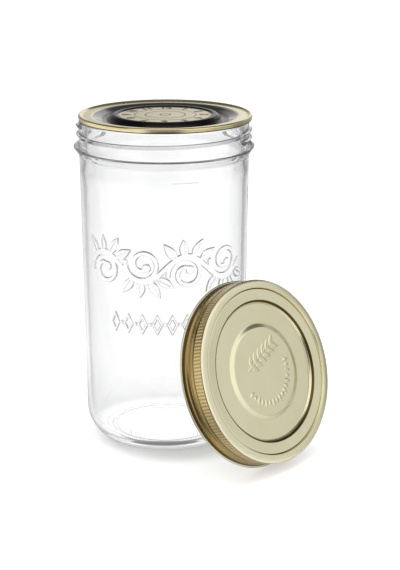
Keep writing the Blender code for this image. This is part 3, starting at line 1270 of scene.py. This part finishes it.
# %% Capsule sizes
capsule_low, capsule_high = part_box("capsule_disc")
capsule_centre = Vector(((capsule_low.x + capsule_high.x) / 2, (capsule_low.y + capsule_high.y) / 2, 0.0))
capsule_radius = (capsule_high.x - capsule_low.x) / 2
capsule_sheet = 0.3 * mm
skirt_lift = 0.7 * mm
# the skirt's lowest rows take a darker gold, painted shade
shaded_edge_height = 1.2 * mm
ridge_height = 0.9 * mm
ridge_half = 1.15 * mm
flange_top = capsule_high.z - ridge_height
flange_outer = capsule_radius - 3.0 * mm
well_radius = bore_radius - 3.0 * mm
flange_inner = well_radius + 0.6 * mm
cone_outer = well_radius - 0.9 * mm
cone_inner = 38.0 * mm
cone_drop = 0.35 * mm
black_outer = 45.7 * mm
well_depth = 2.7 * mm
well_round = (1.0 * mm, 0.9 * mm)
well_middle = 37.2 * mm
well_inner = 36.2 * mm
inner_ridge = 31.4 * mm
inner_ridge_half = 2.1 * mm
inner_ridge_height = 0.75 * mm
black_inner = inner_ridge - inner_ridge_half
centre_level = flange_top + 0.1 * mm
row_tolerance = 0.01 * mm


def capsule_top_profile():
    """The upper surface from the lower edge of the skirt, up over the bead and in to the middle."""
    groove = flange_top - well_depth
    bead_middle = capsule_radius - ridge_half
    bead_level = capsule_high.z - ridge_half
    skirt_low = (capsule_radius - 0.3 * mm, capsule_low.z + skirt_lift)
    skirt_high = (capsule_radius - 0.05 * mm, bead_level - 0.3 * mm)
    bead_end = (bead_middle - 0.766 * ridge_half, bead_level + 0.643 * ridge_half)
    cone_top = (cone_outer, flange_top - cone_drop)
    return joined(
        straight(skirt_low, skirt_high, 0.3 * mm),
        arc((bead_middle, bead_level), (ridge_half, ridge_half), -15, 140, 20),
        eased(bead_end, (flange_outer, flange_top), 6),
        straight((flange_outer, flange_top), (flange_inner, flange_top), 0.8 * mm),
        eased((flange_inner, flange_top), cone_top, 5),
        straight(cone_top, (cone_inner, groove + cone_drop / 2), 0.6 * mm),
        arc((well_middle, groove + well_round[1]), well_round, -50, -140, 8),
        eased((well_inner, groove + 0.5 * mm), (inner_ridge + inner_ridge_half, centre_level), 8),
        arc((inner_ridge, centre_level), (inner_ridge_half, inner_ridge_height), 12, 168, 18),
        straight((black_inner, centre_level), (0.0, centre_level), 1.2 * mm))


print("capsule", round(2 * capsule_radius / mm, 1), "mm across")

# %% Capsule
capsule_angles = np.radians(np.linspace(0, 360, 241)[:-1])


def capsule_finish(radius, height):
    """Which finish each row of the upper surface takes."""
    finish = np.full(len(radius), flange_gold)
    finish[radius < black_outer] = well_black
    finish[radius < cone_inner] = bead_black
    finish[radius < black_inner + row_tolerance] = centre_gold
    # the lowest rows of the skirt are painted darker, painted shade
    finish[height < capsule_low.z + shaded_edge_height] = shaded_edge_gold
    return finish


def add_capsule():
    profile = capsule_top_profile()
    top = turned_points(profile, capsule_angles)
    under = turned_points(profile[::2], capsule_angles, -capsule_sheet)
    under[-1] = top[-1] - (0, 0, capsule_sheet)
    rows = np.concatenate((under[::-1], top))
    finish = np.concatenate((np.full(len(under), bare_tin), capsule_finish(*profile.T)))
    capsule = turned_object("capsule", rows, capsule_finishes, finish)
    capsule.location = capsule_centre
    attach(capsule, "capsule")
    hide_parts("capsule_disc")
    return capsule


capsule = add_capsule()

# %% [markdown]
# The printed dial
#
# A plain dial of months is printed on the centre, so that the owner can mark when the jar was filled.
# Text objects give the numbers, and they are turned into thin meshes and joined, because a print is one
# piece of ink. Two fine rings frame it, and a small one marks the middle.

# %% Dial print
dial_radius = 24.2 * mm
dial_level = centre_level + 0.01 * mm
dial_months = 12
numeral_size = 7.6 * mm
numeral_weight = 0.5 * mm
ink_thickness = 0.02 * mm
# a ring is its radius and its width
printed_rings = ((19.4 * mm, 0.5 * mm), (12.7 * mm, 0.6 * mm), (3.2 * mm, 0.8 * mm))
ink = make_lacquer("dial_ink", (30, 24, 16), (22, 18, 12), 0.35, 0.0, 0.3, 0.2)


def numeral_mesh(text, size):
    """The points and faces of one short text, as a thin solid lying flat."""
    data = bpy.data.curves.new("numeral", "FONT")
    data.body = text
    data.size = size
    data.align_x = "CENTER"
    data.align_y = "CENTER"
    data.extrude = ink_thickness / 2
    data.offset = numeral_weight
    data.resolution_u = 3
    item = add_object("numeral", data)
    bpy.context.view_layer.update()
    mesh = bpy.data.meshes.new_from_object(item.evaluated_get(bpy.context.evaluated_depsgraph_get()))
    bpy.data.objects.remove(item)
    return mesh


def ring_points(radius, width, level):
    """The four turned corners of one printed ring."""
    inner, outer, top = radius - width / 2, radius + width / 2, level + ink_thickness
    profile = np.array([(inner, level), (outer, level), (outer, top), (inner, top)])
    return turned_points(profile, capsule_angles)


def place_numeral(number):
    """The matrix that stands one number on the dial, its top outward; twelve is at the back."""
    turn = math.radians(90 - 360 / dial_months * number)
    spot = Vector((dial_radius * math.cos(turn), dial_radius * math.sin(turn), dial_level))
    return Matrix.Translation(spot) @ Matrix.Rotation(turn - math.pi / 2, 4, "Z")


# %% Dial piece


def dial_parts():
    """The points and faces of each number and each ring."""
    for number in range(1, dial_months + 1):
        mesh = numeral_mesh(str(number), numeral_size)
        matrix = place_numeral(number)
        corners = [tuple(matrix @ vertex.co) for vertex in mesh.vertices]
        yield corners, [tuple(face.vertices) for face in mesh.polygons]
        bpy.data.meshes.remove(mesh)
    for radius, width in printed_rings:
        ring = ring_points(radius, width, dial_level)
        index = np.arange(ring[..., 0].size).reshape(ring.shape[:2])
        beside, above = np.roll(index, -1, 1), np.roll(index, -1, 0)
        quads = np.stack((index, beside, np.roll(beside, -1, 0), above), axis=-1)
        yield ring.reshape(-1, 3).tolist(), quads.reshape(-1, 4).tolist()


def add_dial():
    points, faces = [], []
    for part_points, part_faces in dial_parts():
        faces += [[len(points) + index for index in face] for face in part_faces]
        points += part_points
    mesh = bpy.data.meshes.new("printed_dial")
    mesh.from_pydata(points, [], faces)
    mesh.materials.append(ink)
    dial = add_object("printed_dial", mesh)
    dial.location = capsule_centre
    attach(dial, "capsule")
    print("printed_dial has", len(mesh.polygons), "faces")
    return dial


dial = add_dial()

# %% [markdown]
# The sealing ring
#
# A soft compound is flowed into the flange while the capsule spins, so it is a smooth low ring with a
# slightly crowned lower face. It is hidden at rest and shows when the capsule is lifted.

# %% Sealing ring
seal_low, seal_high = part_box("sealing_ring")
seal_outer = (seal_high.x - seal_low.x) / 2
seal_width = 3.6 * mm
seal_side = 0.3 * mm
compound_roughness = 0.55
compound_bump = 0.2


def make_compound():
    material, tree, shader = new_material("sealing_compound")
    shader.inputs["Roughness"].default_value = compound_roughness
    where = add_node(tree, "ShaderNodeTexCoord").outputs["Object"]
    cloud = add_noise(tree, where, 220.0, 3.0)
    shades = add_node(tree, "ShaderNodeValToRGB", fac=cloud)
    shades.color_ramp.elements[0].color = colour(196, 186, 170)
    shades.color_ramp.elements[1].color = colour(222, 214, 200)
    tree.links.new(shades.outputs["Color"], shader.inputs["Base Color"])
    add_bump(tree, shader, cloud, compound_bump, bump_height)
    return material


def add_seal():
    inner, outer = seal_outer - seal_width, seal_outer
    low, high = seal_low.z, seal_high.z
    middle, half = (inner + outer) / 2, seal_width / 2
    crown = arc((middle, low + seal_side), (half, seal_side), 180, 360, 14)
    upper = [(outer, high - seal_side / 2), (outer - seal_side, high),
             (inner + seal_side, high), (inner, high - seal_side / 2)]
    points = turned_points(np.vstack((crown, upper)), capsule_angles)
    seal = turned_object("seal", points, [make_compound()])
    seal.location = capsule_centre
    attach(seal, "capsule")
    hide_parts("sealing_ring")
    return seal


seal = add_seal()

# %% [markdown]
# The lid's own axes
#
# The lid leans against the jar, so its round shape is built upright and then placed. The direction that
# its face looks in is the axis of the joint that picks it up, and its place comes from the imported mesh:
# the middle of its extent across, and its lowest point along the axis.

# %% Lid axes
lid_axis = Vector(next(joint["axis"] for joint in frame["joints"] if joint["child"] == "lid")).normalized()
lid_right = Vector((-lid_axis.y, lid_axis.x, 0.0)).normalized()
lid_up = lid_axis.cross(lid_right)
lid_points = np.array([vertex.co for vertex in frame["nodes"]["screw_lid"].data.vertices])


def extent(direction):
    """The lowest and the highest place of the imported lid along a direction."""
    along = lid_points @ np.array(direction)
    return float(along.min()), float(along.max())


lid_back, lid_front = extent(lid_axis)
lid_left_edge, lid_right_edge = extent(lid_right)
lid_low_edge, lid_high_edge = extent(lid_up)
lid_height = lid_front - lid_back
lid_rim_radius = (lid_high_edge - lid_low_edge) / 2
lid_middle = lid_right * (lid_left_edge + lid_right_edge) / 2 + lid_up * (lid_low_edge + lid_high_edge) / 2
lid_place = lid_axis * lid_back + lid_middle
lid_turn = np.array((lid_right, lid_up, lid_axis)).T
print("lid", round(2 * lid_rim_radius / mm, 1), "mm across,", round(lid_height / mm, 1), "mm deep")

# %% [markdown]
# The lid's profile
#
# From the middle of the face outward: a raised disc, a sunken ring, a raised ring, a last narrow groove,
# and the rounded corner. Below the corner come the knurled band, the rolled thread and the curled edge.
# The presses leave soft bends, so most steps are eased stretches and not corners.

# %% Lid sizes
lid_sheet = 0.35 * mm
curl_radius = 1.0 * mm
curl_height = 0.75 * mm
skirt_start = 1.76 * curl_height
lid_radius = lid_rim_radius - 2 * curl_radius + lid_sheet
corner_width = 4.3 * mm
corner_height = 1.15 * mm
panel_depth = 3.5 * mm
knurl_ribs = 164
columns_per_rib = 6
knurl_step = 0.2 * mm
knurl_top = lid_height - corner_height - 0.1 * mm
knurl_bottom = knurl_top - 6.2 * mm
lid_angles = np.radians(np.linspace(0, 360, knurl_ribs * columns_per_rib + 1)[:-1])
# where a stretch of the face ends, as a radius and a share of the panel's depth, and how it gets there:
# straight with a spacing, or eased with a number of rows
face_stretches = (
    (52.2 * mm, 0.0, straight, 0.4 * mm),
    (51.65 * mm, 0.38, eased, 8),
    (51.1 * mm, 0.25, eased, 8),
    (45.0 * mm, 0.338, straight, 1.0 * mm),
    (44.2 * mm, 0.35, straight, 0.2 * mm),
    (42.2 * mm, 1.0, eased, 16),
    (42.0 * mm, 1.0, straight, 0.2 * mm),
    (30.6 * mm, 1.0, straight, 1.2 * mm),
    (26.8 * mm, 0.62, eased, 16),
    (0.4 * mm, 0.62, straight, 0.45 * mm),
    (0.0, 0.62, straight, 0.4 * mm))


def lid_face_profile(start):
    """The face, from the inner edge of the corner to the middle."""
    stretches = []
    for radius, share, draw, detail in face_stretches:
        end = (radius, lid_height - panel_depth * share)
        stretches.append(draw(start, end, detail))
        start = end
    return joined(*stretches)


def lid_top_profile():
    """The outer surface from just above the curl, up the skirt and in over the face to its middle."""
    flat_radius = lid_radius - corner_width
    band_radius = lid_radius - knurl_step
    skirt_end = (lid_radius, knurl_bottom - 0.5 * mm)
    return joined(
        straight((lid_radius, skirt_start), skirt_end, 0.26 * mm),
        eased(skirt_end, (band_radius, knurl_bottom), 3),
        straight((band_radius, knurl_bottom), (band_radius, knurl_top), 0.42 * mm),
        eased((band_radius, knurl_top), (lid_radius, knurl_top + 0.3 * mm), 3),
        arc((flat_radius, lid_height - corner_height), (corner_width, corner_height), 0, 90, 24),
        lid_face_profile((flat_radius, lid_height)))


print("the lid's profile has", len(lid_top_profile()), "rows")

# %% [markdown]
# Knurls, thread and pressed ornament
#
# The knurled band has 164 small ribs for grip. The thread is rolled into the skirt from outside, so it
# is a groove that climbs the skirt with the pitch of the neck's thread. The middle of the face carries a
# pressed sprig and an arc of lozenges, the same motifs as on the glass.

# %% Lid relief
lid_thread_depth = 1.2 * mm
lid_thread_width = 3.0 * mm
lid_thread_low = 2 * curl_radius
lid_thread_high = knurl_bottom - 2 * knurl_step
lid_thread_turns = 0.72
lid_thread_start = math.radians(50)
lid_thread_fade = 0.12
knurl_sharpness = 0.6
knurl_fade = 0.7 * mm
press_depth = 0.35 * mm
press_edge = 0.8 * mm


def lid_thread_push(turned, heights):
    """How far the rolled thread goes in, as a negative push."""
    push = np.zeros(np.broadcast(turned, heights).shape)
    for lap in range(2):
        turn = ((turned - lid_thread_start) % math.tau) / math.tau + lap
        middle = lid_thread_low + lid_thread_width / 2 + thread_pitch * turn
        share = np.clip(np.abs(heights - middle) / (lid_thread_width / 2), 0, 1)
        ends = smoothstep(np.minimum(turn, lid_thread_turns - turn) / lid_thread_fade)
        push = np.maximum(push, lid_thread_depth * ends * (1 + np.cos(np.pi * share)) / 2)
    return -push


def knurl_push(turned, heights):
    """Small rounded ribs that stand out of the band and fade at its two edges."""
    rib = (0.5 + 0.5 * np.cos(turned * knurl_ribs)) ** knurl_sharpness
    edge = np.minimum(heights - knurl_bottom, knurl_top - heights) / knurl_fade
    return knurl_step * rib * smoothstep(edge)


# %% Pressed sprig and arc of lozenges
sprig_stem = np.array([(-14, 3.5), (-8, 6.5), (-1, 10.5), (7, 13.5), (13, 15)]) * mm
sprig_stem_width = 0.9 * mm
sprig_pairs = 6
sprig_start = (-11 * mm, 5.2 * mm)
sprig_run = (21 * mm, 9 * mm)
sprig_heading = 24
sprig_spread = (58, 42)
sprig_leaf = (6.6 * mm, 2.9 * mm)
sprig_vein_half = 0.25 * mm
sprig_vein_depth = 0.5
lozenge_arc_radius = 20.0 * mm
lozenge_arc_count = 17
lozenge_arc_start = 214
lozenge_arc_step = 9.6
lozenge_sizes = ((2.3 * mm, 4.6 * mm), (2.3 * mm, 3.0 * mm))


def press_relief(right, up):
    """Height from 0 to 1 of the sprig and the arc of lozenges on the lid's centre."""
    height = raised(stroke(right, up, sprig_stem, sprig_stem_width), press_edge)
    for share in np.linspace(0, 1, sprig_pairs):
        base = (sprig_start[0] + sprig_run[0] * share, sprig_start[1] + sprig_run[1] * share)
        spread = sprig_spread[0] + (sprig_spread[1] - sprig_spread[0]) * share
        for side in (-1, 1):
            blade, vein = leaf(right, up, base, sprig_heading + side * spread, *sprig_leaf)
            groove = sprig_vein_depth * raised(vein - sprig_vein_half, press_edge)
            height = np.maximum(height, raised(blade, press_edge) - groove)
    for place in range(lozenge_arc_count):
        turn = math.radians(lozenge_arc_start + lozenge_arc_step * place)
        radial = right * math.cos(turn) + up * math.sin(turn)
        beside = up * math.cos(turn) - right * math.sin(turn)
        mark = lozenge(beside, radial, (0.0, lozenge_arc_radius), *lozenge_sizes[place % 2])
        height = with_mark(height, mark, press_edge)
    return height


print(knurl_ribs, "ribs,", 2 * sprig_pairs, "leaves and", lozenge_arc_count, "lozenges")

# %% [markdown]
# The lid's gold
#
# The face has the pale, satin gold of a thin lacquer over bright tin, and its rounded corner a paler,
# whiter gold, a painted highlight. The skirt's gold is deeper and browner. The ribs are paler than the
# valleys between them, whose deeper gold is painted shade. The narrow grooves and creases are darker
# still, painted shade too, and the rolled edge shows nearly bare tin.

# %% The lid's six golds
# the names are the indices of the materials below, in their order
face_gold, skirt_gold, painted_shade_gold, curl_gold, band_gold, highlight_corner_gold = range(6)
lid_finishes = [
    make_lacquer("face_gold_lacquer", (250, 244, 208), (246, 239, 201), 0.2),
    make_lacquer("skirt_gold_lacquer", (170, 147, 95), (162, 138, 87), 0.2),
    make_lacquer("painted_shade_gold_lacquer", (104, 87, 48), (97, 80, 43), 0.3),
    make_lacquer("rolled_edge_lacquer", (226, 220, 196), (218, 212, 188), 0.2),
    make_lacquer("band_gold_lacquer", (204, 185, 138), (197, 177, 130), 0.25),
    make_lacquer("highlight_corner_gold_lacquer", (252, 246, 213), (248, 241, 206), 0.2)]
side_depth = 1 * mm
# how far past the corner the paler gold of the painted highlight reaches
highlight_margin = 0.2 * mm
# painted shade lines: their heights on the side, and their radii on the face
painted_shade_heights = (
    (0.0, 2.9 * mm), (7.0 * mm, 7.4 * mm), (knurl_bottom - 0.4 * mm, knurl_bottom),
    (knurl_top, knurl_top + 0.32 * mm))
painted_shade_radii = ((43.2 * mm, 44.75 * mm), (51.45 * mm, 51.85 * mm))


def lid_finish(radius, height):
    """Which of the golds each point of the outer profile takes."""
    on_side = radius > lid_radius - side_depth
    on_band = on_side & within(height, knurl_bottom, knurl_top)
    finish = np.where(on_side & (height < knurl_top), skirt_gold, face_gold)
    # the rounded corner takes a paler gold, a painted highlight
    finish[(height > knurl_top) & (radius > lid_radius - corner_width - highlight_margin)] = highlight_corner_gold
    finish[on_band] = band_gold
    # the dark lines on the side and on the face are painted shade
    for low, high in painted_shade_heights:
        finish[on_side & within(height, low, high)] = painted_shade_gold
    for low, high in painted_shade_radii:
        finish[within(radius, low, high)] = painted_shade_gold
    finish = np.repeat(finish[:, None], len(lid_angles), axis=1)
    # the valleys between the ribs keep the deeper skirt gold, painted shade
    shaded_valley = np.abs(np.arange(len(lid_angles)) % columns_per_rib - (columns_per_rib - 1) / 2) < 1
    finish[np.ix_(on_band, shaded_valley)] = skirt_gold
    return finish


print("golds:", [material.name for material in lid_finishes])

# %% Lid
press_radius = 26 * mm


def add_lid():
    profile = lid_top_profile()
    radius, height = profile[:, :1], profile[:, 1:]
    turned = lid_angles[None, :]
    on_skirt = (radius > lid_radius - 10 * touching) & within(height, lid_thread_low, lid_thread_high)
    on_band = (radius > lid_radius - 2 * knurl_step) & within(height, knurl_bottom, knurl_top)
    smooth_push = np.where(on_skirt, lid_thread_push(turned, height), 0.0)
    ribs = np.where(on_band, knurl_push(turned, height), 0.0)
    pressed = press_depth * press_relief(radius * np.cos(turned), radius * np.sin(turned))
    pressed = np.where(radius < press_radius, pressed, 0.0)
    top = turned_points(profile, lid_angles, smooth_push + ribs + pressed)
    under = turned_points(profile[::2], lid_angles, smooth_push[::2] - lid_sheet)
    under[-1] = top[-1] - (0, 0, lid_sheet)
    curl_centre = (lid_radius + curl_radius - lid_sheet, curl_height)
    curl = turned_points(arc(curl_centre, (curl_radius, curl_height), 185, 485, 22), lid_angles)
    rows = np.concatenate((under[::-1], curl, top)) @ lid_turn.T + lid_place
    plain = np.full((len(under) + len(curl), len(lid_angles)), face_gold)
    plain[len(under):] = curl_gold
    finish = np.concatenate((plain, lid_finish(radius[:, 0], height[:, 0])))
    lid = turned_object("lid", rows, lid_finishes, finish)
    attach(lid, "lid")
    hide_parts("screw_lid")
    return lid


lid = add_lid()
